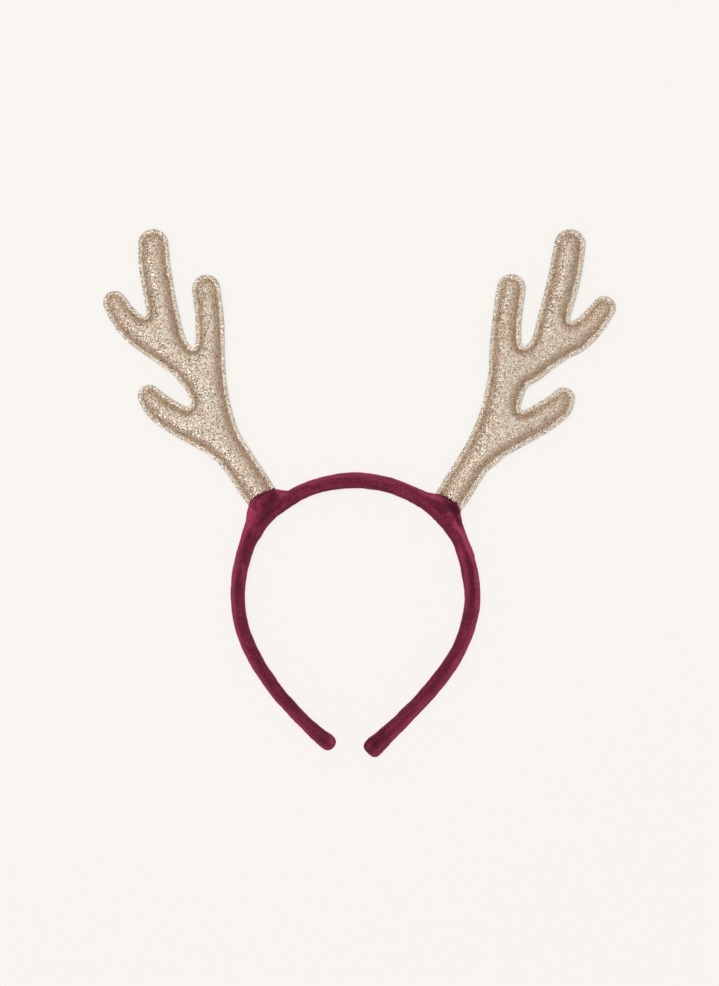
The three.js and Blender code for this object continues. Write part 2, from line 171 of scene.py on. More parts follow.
FULLNESS = 0.39  # how steeply the wadding rises from the seam
SQUEEZE = 0.3  # how much thinner an antler is in its sleeve
TIP_POWERS = (2.3, 3.2)  # how boxy each tip of the band is
BAND_STEPS = 1100  # sections along the band
FACE_ROWS = 27  # points across each face of a section
TUFTS = 760  # in the fringe at the sleeves
FLAKES_PER_METRE = 2550.0
FLAKE_TILT = 0.7
FIBRES_PER_METRE = 1700.0
FLOOR_GLOW = 0.885  # how bright the camera sees the floor, before the light that falls on it
FLOOR_SHARE = 0.1  # how much of that light it shows
FLOOR_BOUNCE = 0.5  # how much light it throws back at the headband

MOUTHS = {"left": 10.5, "right": 9.1}  # from a seat to the edge of its sleeve
SEEDS = {"left": 0, "right": 1}

# The flat rim's width as a share of the rim, and how much wider it is on the right of a tine.
RIMS = {"left": (0.86, 0.02), "right": (1.0, 0.14)}

# Soft folds and painted patches of the velvet: the face that each is on, how high it stands, how much
# lighter (painted highlight) or darker (painted shade) it is, how wide it is, and the line it follows.
FOLDS = [
    (1, -0.3, -0.38, 1.9, [(-43.3, -11.3), (-44.4, -15.5), (-45.5, -19.5), (-49.2, -25.5)]),
    (1, 0.25, 0.4, 1.5, [(-50.6, -15), (-51.2, -19), (-52.6, -24.5)]),
    (1, 0.2, 0.5, 1.4, [(-53.6, -13.7), (-54.6, -17.4), (-55.7, -22.6), (-58.9, -29)]),
    (1, 0.2, 0.35, 1.1, [(-42, -11.9), (-39, -11.6), (-36.3, -11.1)]),
    (1, 0.3, 0.05, 1.1, [(-45.5, -19.5), (-41, -15.8), (-35, -13.2), (-28, -10.6)]),
    (1, -0.1, -0.3, 1.5, [(-47, -23.5), (-43.5, -20.8), (-39.5, -17.4)]),
    (1, 0, -0.4, 1.4, [(-34.5, -9.9), (-30.5, -8.7), (-25, -6.4)]),
    (1, 0, 0.25, 1, [(-28.5, -11), (-24.5, -9.7), (-20, -8.6)]),
    (1, -0.1, -0.3, 1.4, [(-55, -31), (-57.4, -38), (-59.3, -45)]),
    (1, 0, 0.45, 1.1, [(-58.5, -48), (-58.1, -60), (-57.6, -70)]),
    (1, 0, 0.35, 1.3, [(-63.6, -48), (-64.6, -55), (-64.6, -64)]),
    (1, 0.55, 1.15, 1.2, [
        (48.1, -20.6), (49.6, -23.5), (53.3, -28.7), (56, -32.2), (58.2, -37.6), (60.6, -42.8),
    ]),
    (1, -0.5, -0.75, 1.6, [(48.9, -17), (50.8, -18.5), (52.3, -20.8), (53.3, -23.5), (54.2, -27)]),
    (1, 0, -0.45, 1.2, [(52.3, -24), (52.6, -27.3)]),
    (1, 0, 0.3, 1.1, [(-56, -27), (-58.8, -33), (-61.3, -40), (-63, -47)]),
    (1, 0.25, 0.75, 1.1, [(40, -11.6), (42.6, -12.7), (44.2, -13.7)]),
    (1, 0.15, 0.35, 1, [(55.6, -26.7), (58.2, -34)]),
    (1, 0.3, -0.1, 1.2, [(36, -13.5), (41.5, -17.8), (46.3, -23.5), (50.5, -30)]),
    (1, 0, 0.35, 1.5, [(22, -9.6), (31, -12.6), (36.5, -15.8), (41.5, -20.3)]),
    (1, 0, -0.35, 1.1, [(21, -5.6), (26, -7.2), (31, -8.6)]),
    (1, 0, -0.3, 1.4, [(57.8, -41.5), (59.6, -49), (60.3, -58), (59.9, -68)]),
    (1, 0, 0.7, 1.4, [(60.9, -40), (62.7, -49), (63.3, -55)]),
    (1, 0, 0.35, 1, [(53.4, -40), (55.7, -48.5), (56.8, -57), (56.6, -71)]),
    (1, 0, -0.25, 1.2, [(54.6, -83), (51.6, -92), (46, -101.5)]),
    (1, 0, 0.25, 1, [(60, -80), (56.3, -90), (50.5, -99.5)]),
    (1, 0, -0.25, 1.6, [(-54, -91), (-49, -101), (-43.5, -108.5)]),
    (-1, 0.45, 0.6, 1.5, [(43, -16), (49, -21), (54, -28)]),
    (-1, -0.35, -0.7, 1.7, [(46, -14.5), (50.5, -17.5), (53, -22.5)]),
    (-1, 0.4, 0.5, 1.6, [(-40, -12), (-46, -18), (-53, -29)]),
    (-1, -0.3, -0.5, 1.8, [(-43, -11.5), (-49, -15.5), (-53, -22)]),
    (1, 0.1, 0.75, 0.9, [(-13, -135.9), (-11.9, -139), (-13, -142.2)]),
    (1, -0.2, -0.25, 1.2, [(-17.6, -138.6), (-16, -139.8)]),
    (1, -0.25, -0.25, 2, [(8.3, -137), (8.8, -141), (10.5, -143.3)]),
    (1, -0.15, -0.5, 1.6, [(9.8, -139.8), (11.9, -137.3), (14, -135)]),
]


def millimetres(name, default, description):
    return FloatProperty(name=name, default=default * MM, description=description, unit="LENGTH")


def colour(name, default, description):
    return FloatVectorProperty(
        name=name, default=default, description=description, size=3, subtype="COLOR", min=0, max=1
    )


# Curves and noise


def smooth_step(values):
    t = np.clip(values, 0, 1)
    return t * t * (3 - 2 * t)


def mixed(a, b, share):
    return a + (b - a) * share


def curve_through(rows, steps):
    """A smooth curve through the rows, with that many points to each row.

    Between two rows the point follows a cubic whose slopes come from the square roots of the distances
    between the rows, so it doesn't swing out where rows are close together.
    """
    rows = np.asarray(rows, float)
    ends = np.concatenate([[2 * rows[0] - rows[1]], rows, [2 * rows[-1] - rows[-2]]])
    a, b, c, d = ends[:-3], ends[1:-2], ends[2:-1], ends[3:]
    before, between, after = (
        np.sqrt(np.linalg.norm(q - p, axis=1))[:, None] for p, q in ((a, b), (b, c), (c, d))
    )
    between = np.where(between < 1e-4, 1, between)
    before = np.where(before < 1e-4, between, before)
    after = np.where(after < 1e-4, between, after)
    leave = between * ((b - a) / before - (c - a) / (before + between) + (c - b) / between)
    arrive = between * ((c - b) / between - (d - b) / (between + after) + (d - c) / after)
    t = (np.arange(steps) / steps)[None, :, None]
    b, c, leave, arrive = (v[:, None] for v in (b, c, leave, arrive))
    points = b + leave * t + (3 * (c - b) - 2 * leave - arrive) * t**2
    points = points + (leave + arrive - 2 * (c - b)) * t**3
    return np.concatenate([points.reshape(-1, rows.shape[1]), rows[-1:]])


def lengths_along(points):
    return np.concatenate([[0], np.cumsum(np.linalg.norm(np.diff(points, axis=0), axis=1))])


def ripples(points, wavelength, seed, count=28):
    """A soft random height: the sum of many sine waves in random directions, about one high."""
    rng = np.random.default_rng(seed)
    directions = rng.normal(size=(count, points.shape[-1]))
    directions /= np.linalg.norm(directions, axis=1, keepdims=True)
    waves = directions * (2 * np.pi / (wavelength * rng.uniform(0.7, 1.6, (count, 1))))
    return np.sin(points @ waves.T + rng.uniform(0, 2 * np.pi, count)).sum(-1) * np.sqrt(1 / count)


# Meshes


def new_piece(name, vertices, faces, material, smooth=True, attributes=None):
    """A mesh object from arrays in millimetres. Faces is a list of arrays with equally many corners."""
    corners = np.concatenate([f.reshape(-1) for f in faces]).astype(np.int32)
    totals = np.concatenate([np.full(len(f), f.shape[1], np.int32) for f in faces])
    mesh = bpy.data.meshes.new(name)
    mesh.vertices.add(len(vertices))
    mesh.vertices.foreach_set("co", (np.asarray(vertices) * MM).astype(np.float32).ravel())
    mesh.loops.add(len(corners))
    mesh.loops.foreach_set("vertex_index", corners)
    mesh.polygons.add(len(totals))
    starts = np.concatenate([[0], np.cumsum(totals)[:-1]]).astype(np.int32)
    mesh.polygons.foreach_set("loop_start", starts)
    mesh.polygons.foreach_set("use_smooth", np.full(len(totals), smooth))
    for key, values in (attributes or {}).items():
        attribute = mesh.attributes.new(key, "FLOAT", "POINT")
        attribute.data.foreach_set("value", np.asarray(values, np.float32).ravel())
    mesh.update(calc_edges=True)
    if mesh.validate():
        raise RuntimeError(f"{name} has faults in its mesh")
    mesh.materials.append(material)
    piece = bpy.data.objects.new(name, mesh)
    bpy.context.scene.collection.objects.link(piece)
    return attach(piece, "root")


# The antlers


def sizes():
    return bpy.context.scene.headband


def limb_lines(side):
    """The middle lines of an antler's limbs in millimetres, with half the width as the third column."""
    made = sizes()
    scale = np.array([made.antler_height, made.antler_height, made.tine_width / 2]) / MM
    return [curve_through(rows * scale, 6) for rows in LIMBS[side]]


def seat_of(side):
    made = sizes()
    return BAND_ROWS[SEAT_ROWS[side], :2] * (made.band_width / 2 / MM, made.band_height / MM)


def placed(points):
    """From the tables' own origin at the crown of the band to the frame's origin.

    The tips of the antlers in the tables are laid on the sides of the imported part's box.
    """
    ends = {side: np.concatenate(limb_lines(side)) for side in LIMBS}
    right = (ends["right"][:, 0] + ends["right"][:, 2]).max() + seat_of("right")[0]
    top = max((ends[side][:, 1] + ends[side][:, 2]).max() + seat_of(side)[1] for side in LIMBS)
    front, back = (np.array(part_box("antler_left_" + face)) / MM for face in ("front", "back"))
    shift = (CAD_BOX[1][0] / MM - right, CAD_BOX[1][1] / MM - top, (front[1, 2] + back[0, 2]) / 2)
    return points + shift


def limb_distance(points, line):
    """Distance from points to the edge of a limb, which is negative inside it.

    The limb is a chain of short cones around its middle line, and the nearest of them counts.
    """
    start, step = line[:-1], np.diff(line, axis=0)
    distance = np.empty(len(points))
    for part in range(0, len(points), 20000):
        away = points[part : part + 20000, None] - start[None, :, :2]
        share = np.clip((away * step[:, :2]).sum(-1) / (step[:, :2] ** 2).sum(-1), 0, 1)
        away -= share[..., None] * step[:, :2]
        reach = np.hypot(away[..., 0], away[..., 1]) - (start[:, 2] + share * step[:, 2])
        distance[part : part + 20000] = reach.min(1)
    return distance


def soft_min(a, b, size):
    """The smaller of two distances, rounded off where they are alike."""
    mix = np.maximum(size - np.abs(a - b), 0) / size
    return np.minimum(a, b) - mix * mix * size / 4


def root_direction(side):
    return LIMBS[side][0][1, :2] / np.linalg.norm(LIMBS[side][0][1, :2])


def antler_field(side):
    """A function that gives the distance to an antler's edge: its limbs run softly into each other."""
    lines = limb_lines(side)
    root = root_direction(side)

    def field(points):
        flat = points.reshape(-1, 2)
        body = limb_distance(flat, lines[0])
        for line in lines[1:]:
            body = soft_min(body, limb_distance(flat, line), WEB_SIZE)
        whole = -soft_min(-body, flat @ root - FOOT_END, FOOT_CORNER)
        return whole.reshape(points.shape[:-1]) + CUT_BACK

    return field


def slope_of(field, points, reach=0.02):
    ways = np.array([[reach, 0], [-reach, 0], [0, reach], [0, -reach]])
    right, left, up, down = (field(points + way) for way in ways)
    return np.stack([right - left, up - down], -1) / (2 * reach)


def to_level(field, points, level, rounds=4):
    """Moves points along the field's slope until they lie at the level."""
    for _ in range(rounds):
        slope = slope_of(field, points)
        off = (level - field(points)) / np.maximum((slope**2).sum(-1), 0.25)
        points = points + slope * off[..., None]
    return points


def walk_round(field, start, level, step):
    """Points one step apart round the line on which the field has that level."""
    point = to_level(field, np.array([start], float), level)
    path = [point[0]]
    while len(path) < 5 or np.linalg.norm(path[-1] - path[0]) > step * 0.75:
        slope = slope_of(field, point)
        slope /= np.linalg.norm(slope)
        ahead = point + np.stack([-slope[:, 1], slope[:, 0]], 1) * step
        point = to_level(field, ahead, level)
        path.append(point[0])
        if len(path) > 4000:
            raise RuntimeError("an antler's seam does not close")
    return np.array(path)


def to_outline(points, outline, part=4000):
    """How far points lie from a closed line, and how far along it the nearest place is."""
    start, step = outline, np.roll(outline, -1, 0) - outline
    size = np.maximum((step**2).sum(-1), 1e-9)
    begins = np.concatenate([[0], np.cumsum(np.sqrt(size))[:-1]])
    flat = points.reshape(-1, 2)
    found = np.empty((2, len(flat)))
    for first in range(0, len(flat), part):
        away = flat[first : first + part, None] - start[None]
        share = np.clip((away * step).sum(-1) / size, 0, 1)
        away -= share[..., None] * step
        distance = np.hypot(away[..., 0], away[..., 1])
        nearest = distance.argmin(1)
        here = np.arange(len(nearest))
        found[0, first : first + part] = distance[here, nearest]
        found[1, first : first + part] = begins[nearest] + share[here, nearest] * np.sqrt(size[nearest])
    return found.reshape(2, *points.shape[:-1])


def outline_of(side):
    field = antler_field(side)
    tip = limb_lines(side)[1][-1]
    return walk_round(field, tip[:2] + (0, tip[2]), 0, OUTLINE_STEP)


def clipped(points, faces):
    """Cuts triangles at the line where a point's third column is 0 and keeps what lies below it.

    An edge with its ends on both sides gets a new point in proportion to their values. A triangle with
    two low corners leaves two triangles, and one with one low corner leaves one.
    """
    values = points[:, 2]
    low = values <= 0
    count = low[faces].sum(1)
    keep = faces[(count == 3) & (values[faces].mean(1) < 0)]

    def turned(selection, odd):
        chosen = faces[selection]
        first = np.argmax(low[chosen] == odd, axis=1)
        return np.take_along_axis(chosen, (first[:, None] + np.arange(3)) % 3, 1)

    high, deep = turned(count == 2, False), turned(count == 1, True)
    pairs = np.concatenate([high[:, [0, 1]], high[:, [0, 2]], deep[:, [0, 1]], deep[:, [0, 2]]])
    edges, where = np.unique(np.sort(pairs, axis=1), axis=0, return_inverse=True)
    a, b = edges.T
    share = (values[a] / (values[a] - values[b]))[:, None]
    born = mixed(points[a], points[b], share)
    where = where.reshape(-1) + len(points)
    one, two, three, four = np.split(where, np.cumsum([len(high), len(high), len(deep)]))
    left_over = [
        keep,
        np.stack([one, high[:, 1], high[:, 2]], 1),
        np.stack([one, high[:, 2], two], 1),
        np.stack([deep[:, 0], three, four], 1),
    ]
    return np.concatenate([points, born]), np.concatenate(left_over)


def tidied(points, faces):
    """Merges points that lie together and drops faces without area and points without faces."""
    rounded = np.round(points[:, :2] / 2e-3).astype(np.int64)
    _, first, where = np.unique(rounded, axis=0, return_index=True, return_inverse=True)
    faces = where.reshape(-1)[faces]
    points = points[first]
    faces = faces[(faces != np.roll(faces, 1, 1)).all(1)]
    a, b, c = (points[faces[:, k], :2] for k in range(3))
    area = (b - a)[:, 0] * (c - a)[:, 1] - (b - a)[:, 1] * (c - a)[:, 0]
    faces = faces[area > 0]
    used, faces = np.unique(faces, return_inverse=True)
    return points[used], faces.reshape(-1, 3)


def open_edges(faces):
    """Edges with a face on one side only, in the direction in which that face runs along them."""
    edges = np.concatenate([faces[:, [0, 1]], faces[:, [1, 2]], faces[:, [2, 0]]]).astype(np.int64)
    size = int(faces.max()) + 1
    return edges[~np.isin(edges[:, 0] * size + edges[:, 1], edges[:, 1] * size + edges[:, 0])]


def softened(grid):
    soft = grid.copy()
    around = grid[:-2, 1:-1] + grid[2:, 1:-1] + grid[1:-1, :-2] + grid[1:-1, 2:]
    soft[1:-1, 1:-1] = (grid[1:-1, 1:-1] * 4 + around) / 8
    return soft


def inflated(inset, cell, sweeps=170):
    """How far a stuffed sheet rises that is sewn down along the seam.

    Every point on the grid tends to the mean of its neighbours plus an even push, and is drawn back in
    proportion to its own height: narrow tines rise like a bow, and the wide palm is flatter on top. The
    black and the white fields of the board take turns. Right beside the seam the grid is too coarse, so
    there the height follows the distance to the seam, in the proportion that holds a little further in.
    """
    inside = inset > 0
    board = np.indices(inset.shape).sum(0) % 2
    height = np.zeros(inset.shape)
    hold = 1 + cell**2 / (4 * SPREAD**2)
    for sweep in range(2 * sweeps):
        around = np.zeros(inset.shape)
        around[1:-1, 1:-1] = height[:-2, 1:-1] + height[2:, 1:-1] + height[1:-1, :-2] + height[1:-1, 2:]
        pull = np.where(inside & (board == sweep % 2), (around / 4 + cell**2 / 4) / hold - height, 0)
        height += 1.88 * pull
    known = inset > 3 * cell
    ratio = np.where(known, height / np.maximum(inset, cell), 0)
    weight = known.astype(float)
    for _ in range(24):
        ratio, weight = softened(ratio), softened(weight)
    beside = np.clip(inset, 0, None) * ratio / np.maximum(weight, 1e-6)
    return np.where(known, height, beside)


def antler_sheet(side, cell, outline):
    """One face of an antler as flat triangles on a fine grid, cut along the outline.

    The columns are x outwards, y, the distance to the outline, the distance in from the seam, and how
    far the padding rises. Grid points beside the outline and the seam are moved onto them first.
    """
    field = antler_field(side)
    reach = np.concatenate(limb_lines(side))
    low = (reach[:, :2] - reach[:, 2:]).min(0) - 1
    high = (reach[:, :2] + reach[:, 2:]).max(0) + 1
    across, up = (np.arange(low[k], high[k], cell) for k in (0, 1))
    grid = np.stack(np.meshgrid(across, up, indexing="ij"), -1)
    edge = field(grid)
    slope = np.stack(np.gradient(edge, cell), -1)
    slope /= np.maximum(np.linalg.norm(slope, axis=-1, keepdims=True), 1e-6)
    wide, lean = RIMS[side]
    rim = sizes().rim / MM * (wide + lean * slope[..., 0] * OUTWARDS[side])
    rim += 0.1 * ripples(grid, 7, 5 + SEEDS[side])
    inset = -edge - rim
    inside = edge < 0
    inset[inside] = to_outline(grid[inside], outline)[0] - rim[inside]
    rise = inflated(inset, cell)

    def from_outline(points):
        return -to_outline(points, outline)[0]

    near_edge = np.abs(edge) < 0.45 * cell
    near_seam = np.abs(inset) < 0.45 * cell
    grid[near_edge] = to_level(field, grid[near_edge], 0.0)
    grid[near_seam] = to_level(from_outline, grid[near_seam], -rim[near_seam])
    edge[near_edge] = 0
    inset[near_seam] = 0
    rise[near_seam] = 0
    columns = np.concatenate([grid, edge[..., None], inset[..., None], rise[..., None]], -1)
    index = np.arange(grid[..., 0].size).reshape(grid.shape[:2])
    a, b, c, d = index[:-1, :-1], index[1:, :-1], index[1:, 1:], index[:-1, 1:]
    odd = (np.indices(a.shape).sum(0) % 2 == 1).ravel()
    a, b, c, d = (corner.ravel() for corner in (a, b, c, d))
    faces = np.concatenate([
        np.stack([a, b, np.where(odd, c, d)], 1),
        np.stack([np.where(odd, a, b), c, d], 1),
    ])
    return tidied(*clipped(columns.reshape(-1, 5), faces))


def padding_height(sheet, along, side, seed):
    """Height of an antler's cloth over its middle plane.

    The rim is flat with a rounded edge. At the seam it dips, and inside the seam the wadding rises like
    a pillow up to its loft. Beside the seam the cloth is gathered in small puckers, waves of the
    distance round the outline. In the sleeve the foot is squeezed.
    """
    made = sizes()
    flat, edge, inset, rise = sheet[:, :2], sheet[:, 2], sheet[:, 3], sheet[:, 4]
    height = made.cloth / MM * (1 - 0.4 * np.exp(edge / 0.22))
    height -= SEAM_DEPTH * np.exp(-((inset / SEAM_WIDTH) ** 2))
    soft = FULLNESS * rise
    soft -= SEAM_EASE * (1 - np.exp(-soft / SEAM_EASE))
    padding = soft / (1 + (soft / LOFT) ** 6) ** (1 / 6)
    padding *= 1 + 0.03 * ripples(flat, 15, seed) + 0.02 * ripples(flat, 6, seed + 1)
    height += padding
    wave = np.sin(2 * np.pi / PUCKER_LENGTH * (along + 0.5 * ripples(flat, 5, seed + 2)))
    height += PUCKER * wave * np.exp(-(((inset + 0.3) / 0.9) ** 2)) * (1 - np.exp(edge / 0.5))
    deep = MOUTHS[side] - flat @ root_direction(side)
    return height * (1 - SQUEEZE * smooth_step(deep / 3))


def stuffed_antler(side, material):
    """A whole antler: two inflated sheets, back to back, with a notch between their edges."""
    outline = outline_of(side)
    sheet, faces = antler_sheet(side, ANTLER_CELL, outline)
    rng = np.random.default_rng(40 + SEEDS[side])
    along = to_outline(sheet[:, :2], outline)[1]
    heights = [padding_height(sheet, along, side, 60 + 10 * k + SEEDS[side]) for k in (0, 1)]
    flat = sheet[:, :2] + rng.normal(0, GRAIN_DRIFT, (len(sheet), 2))
    rows = [
        np.column_stack([flat, sign * (h + rng.normal(0, GRAIN, len(flat)))])
        for sign, h in zip((1, -1), heights)
    ]
    edges = open_edges(faces)
    ring, edges = np.unique(edges, return_inverse=True)
    edges = edges.reshape(-1, 2)
    field = antler_field(side)
    notch = to_level(field, sheet[ring, :2], -0.3)
    count = len(sheet)
    rows.append(np.column_stack([notch, np.zeros(len(ring))]))
    a, b = edges.T
    middle = 2 * count
    bands = np.concatenate([
        np.stack([ring[a], middle + a, middle + b, ring[b]], 1),
        np.stack([middle + a, count + ring[a], count + ring[b], middle + b], 1),
    ])
    triangles = np.concatenate([faces, count + faces[:, ::-1]])
    points = np.concatenate(rows)
    seat = seat_of(side)
    across = seat[0] + OUTWARDS[side] * points[:, 0]
    world = placed(np.column_stack([across, seat[1] + points[:, 1], points[:, 2]]))
    if OUTWARDS[side] < 0:
        triangles, bands = triangles[:, ::-1], bands[:, ::-1]
    attributes = {
        "inset": np.concatenate([sheet[:, 3], sheet[:, 3], np.full(len(ring), -2.0)]),
        "edge": np.concatenate([sheet[:, 2], sheet[:, 2], np.zeros(len(ring))]),
    }
    piece = new_piece(f"{side}_antler", world, [triangles, bands], material, False, attributes)
    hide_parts(f"antler_{side}_front", f"antler_{side}_back")
    return piece


# The band


def band_stations(count):
    """Points evenly along the band with what its section needs there, as one dictionary of arrays.

    The middle line and the sizes of the section are smooth curves through the table. Beside each seat
    the sleeve's rim is another curve, and where the rim lies inside the antler's outline its slot is
    open, as wide as the antler is thick there.
    """
    made = sizes()
    steps = 40
    line = curve_through(BAND_ROWS[:, :2] * (made.band_width / 2 / MM, made.band_height / MM), steps)
    share = curve_through(BAND_ROWS[:, 2:], steps)[:, 0]
    along = lengths_along(line)
    wanted = np.linspace(0, along[-1], count)
    middle = np.stack([np.interp(wanted, along, line[:, k]) for k in (0, 1)], 1)
    tangent = np.gradient(middle, axis=0)
    tangent /= np.linalg.norm(tangent, axis=1, keepdims=True)
    outward = np.stack([-tangent[:, 1], tangent[:, 0]], 1)
    rise, slot, opening = np.zeros((3, count))
    thickness = np.interp(wanted, along, share) * made.band_thickness / MM
    for side, rows in SLEEVE_ROWS.items():
        distance = (wanted - along[SEAT_ROWS[side] * steps]) * OUTWARDS[side]
        rim = curve_through(rows * (made.tine_width / MM, 1), 12)
        stands_out = np.interp(distance, rim[:, 0], rim[:, 1], 0, 0) * made.sleeve_rise / MM
        rise = np.maximum(rise, stands_out)
        mouth = middle + outward * (thickness / 2 + stands_out)[:, None]
        depth = -antler_field(side)((mouth - seat_of(side)) * (OUTWARDS[side], 1))
        near = np.abs(distance) < 1.5 * made.tine_width / MM
        slot = np.maximum(slot, np.where(near, smooth_step(depth / 0.9 + 0.4), 0))
        inset = np.clip(depth - made.rim / MM, 0, 5.4)
        lens = made.cloth / MM + 0.15 + 3.5 * np.sqrt(np.clip(1 - (1 - inset / 5.4) ** 2, 0, 1))
        opening = np.maximum(opening, np.where(near, lens, 0))
    return {
        "along": wanted,
        "middle": middle,
        "tangent": tangent,
        "outward": outward,
        "thick": thickness,
        "rise": rise,
        "slot": slot,
        "opening": np.clip(opening, 1.05, made.antler_thickness / MM / 2 + 0.3),
    }


def band_section(stations, rows):
    """Across the band: x away from the head and z, one row of points for each station.

    Away from the head the section is a round superellipse and towards the head a flatter one. On a
    sleeve it stands out and grows boxy, and its lips draw in towards the antler's cloth. The last
    points go down one wall of the sleeve's slot, over its floor and up the other wall, or straight on
    round the section where there is no slot.
    """
    made = sizes()
    thick, rise, slot, opening = (
        stations[key][:, None] for key in ("thick", "rise", "slot", "opening")
    )
    deep = made.band_depth / MM
    risen = np.clip(rise / (made.sleeve_rise / MM), 0, 1)
    lip_depth = mixed(deep / 2, opening + made.sleeve_wall / MM + 0.6, 0.75 * risen)
    lip_depth = np.minimum(lip_depth, deep / 2)
    outer_power = mixed(2.15, 4.2, smooth_step(risen * 1.4))

    def around(angle):
        cosine, sine = np.cos(angle), np.sin(angle)
        power = np.where(cosine > 0, outer_power, 3.0)
        x = (thick + rise) / 2 * np.sign(cosine) * np.abs(cosine) ** (2 / power) + rise / 2
        lift = smooth_step((x - 0.1 * thick) / (rise + 0.4 * thick))
        return x, mixed(deep / 2, lip_depth, lift) * np.sign(sine) * np.abs(sine) ** (2 / power)

    first = np.arcsin(np.clip(opening / lip_depth, 0, 0.97) ** (outer_power / 2))
    face_x, face_z = around(first + (np.pi - first) * np.linspace(0, 1, rows) ** 1.1)
    plain_x, plain_z = around(first * np.linspace(-1, 1, 15)[1:-1])
    lip = face_x[:, :1]
    sunk = np.array([0.03, 0.10, 0.35, 1.0, 1, 1, 1, 1, 1, 1.0, 0.35, 0.10, 0.03])
    reach = np.array([-0.985, -0.96, -0.94, -0.92, -0.6, -0.3, 0, 0.3, 0.6, 0.92, 0.94, 0.96, 0.985])
    strip_x = mixed(plain_x, mixed(lip, 1.0, sunk), slot)
    strip_z = mixed(plain_z, opening * reach, slot)
    under = slice(-2, None, -1)
    x = np.concatenate([face_x, face_x[:, under], strip_x], 1)
    z = np.concatenate([face_z, -face_z[:, under], strip_z], 1)
    return np.maximum(x, HEAD_SIDE_FLAT - thick / 2), z


def folds_at(points):
    """How far the velvet stands out in folds and lies in hollows, and the light or shade painted there.

    Each fold is a ridge or a hollow round a short line, and dies out away from it like a bell.
    """
    height, shade = np.zeros((2, *points.shape[:-1]))
    flat = points[..., :2].reshape(-1, 2)
    for face, amount, lighter, width, line in FOLDS:
        path = curve_through(np.array(line, float), 8)
        path = np.column_stack([path, np.zeros(len(path))])
        away = limb_distance(flat, path).reshape(height.shape)
        bell = np.exp(-((away / width) ** 2)) * smooth_step(points[..., 2] * face / 2.0)
        height += amount * bell
        shade += lighter * bell
    return height, shade


def end_cap(ring, middle, ahead, length, power):
    """Rings that close a tip: the last section shrinks along a superellipse while it moves ahead."""
    centre = np.append(middle, 0)
    turn = np.linspace(0, 1, 14)[1:-1, None, None] * np.pi / 2
    smaller, further = (wave ** (2 / power) for wave in (np.cos(turn), np.sin(turn)))
    return centre + (ring - centre) * smaller + np.append(ahead, 0) * length * further


def velvet_band(material):
    """The padded band with its two sleeves: a closed skin over sections along the band's middle line."""
    stations = band_stations(BAND_STEPS)
    x, z = band_section(stations, FACE_ROWS)
    flat = stations["middle"][:, None] + stations["outward"][:, None] * x[..., None]
    points = np.concatenate([flat, z[..., None]], -1)
    turn = np.roll(points, -1, 1) - np.roll(points, 1, 1)
    normal = np.cross(turn, np.gradient(points, axis=0))
    normal /= np.maximum(np.linalg.norm(normal, axis=-1, keepdims=True), 1e-9)
    to_end = np.minimum(stations["along"], stations["along"][-1] - stations["along"])
    skin = 2 * FACE_ROWS - 1
    inside = np.zeros(x.shape)
    inside[:, skin:] = stations["slot"][:, None]
    inside[:, [0, skin - 1]] = 0.6 * stations["slot"][:, None]
    swell = folds_at(points)[0] + 0.10 * ripples(points / (1, 1, 0.6), 9, 3)
    swell += 0.05 * ripples(points, 3.4, 4) + 0.02 * ripples(points, 1.3, 5)
    points += normal * (swell * (1 - inside) * smooth_step(to_end / 3)[:, None])[..., None]
    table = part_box("velvet_band")[0][2] / MM - placed(np.zeros((1, 3)))[0, 2]
    points[..., 2] = np.maximum(points[..., 2], table + TABLE_GAP)
    width = points.shape[1]
    caps = []
    for k, way in ((0, -1), (-1, 1)):
        ahead = stations["tangent"][k] * way
        caps.append(end_cap(points[k], stations["middle"][k], ahead, TIP_LENGTHS[k], TIP_POWERS[k]))
    rings = np.concatenate([caps[0][::-1], points, caps[1]])
    index = np.arange(len(rings) * width).reshape(len(rings), width)
    a, b, c, d = index[:-1], np.roll(index[:-1], -1, 1), np.roll(index[1:], -1, 1), index[1:]
    quads = np.stack([a, b, c, d], -1).reshape(-1, 4)
    poles = rings[[0, -1]].mean(1)
    first, last = index[0], index[-1]
    fans = np.concatenate([
        np.stack([np.roll(first, -1), first, np.full(width, index.size)], 1),
        np.stack([last, np.roll(last, -1), np.full(width, index.size + 1)], 1),
    ])
    grow = [(len(caps[0]), len(caps[1])), (0, 0)]
    shade = folds_at(rings)[1]
    thick, rise = stations["thick"][:, None], stations["rise"][:, None]
    # How far out across the section each point lies; the velvet paints sheen on the flanks from it, weaker
    # on the sleeves' outer side.
    across = (2 * x - rise) / (thick + rise)
    across *= np.where(across > 0, 1 - 0.8 * stations["slot"][:, None], 1)
    share = np.pad(across, grow, mode="edge").ravel()
    to_lip = np.hypot(x - x[:, :1], np.abs(z) - stations["opening"][:, None])
    # Painted shade on the walls of the sleeves' slots and a painted shadow along their lips; the ripples add
    # the pile's own random tone.
    pile = -0.4 * inside - 0.45 * stations["slot"][:, None] * np.exp(-((to_lip / 0.55) ** 2))
    stretched = np.stack([np.broadcast_to(stations["along"][:, None] / 9, x.shape), x, z], -1)
    pile += 0.13 * ripples(stretched, 2.6, 9) + 0.10 * ripples(stretched, 1.1, 10)
    # Painted shade: less painted sheen on both edges of the band towards its tips.
    pile -= 0.32 * across**2 * smooth_step((-95 - points[..., 1]) / 25)
    # The painted highlights and painted shade of folds, slots and lips, with the pile's random tone, go to
    # the material.
    nap_and_painted_light = (shade + np.pad(pile, grow, mode="edge")).ravel()
    piece = new_piece(
        "padded_velvet_band",
        placed(np.concatenate([rings.reshape(-1, 3), poles])),
        [quads, fans],
        material,
        attributes={
            "outwards": np.append(share, [0, 0]),
            "nap_and_painted_light": np.append(nap_and_painted_light, [0, 0]),
        },
    )
    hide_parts("velvet_band")
    return piece


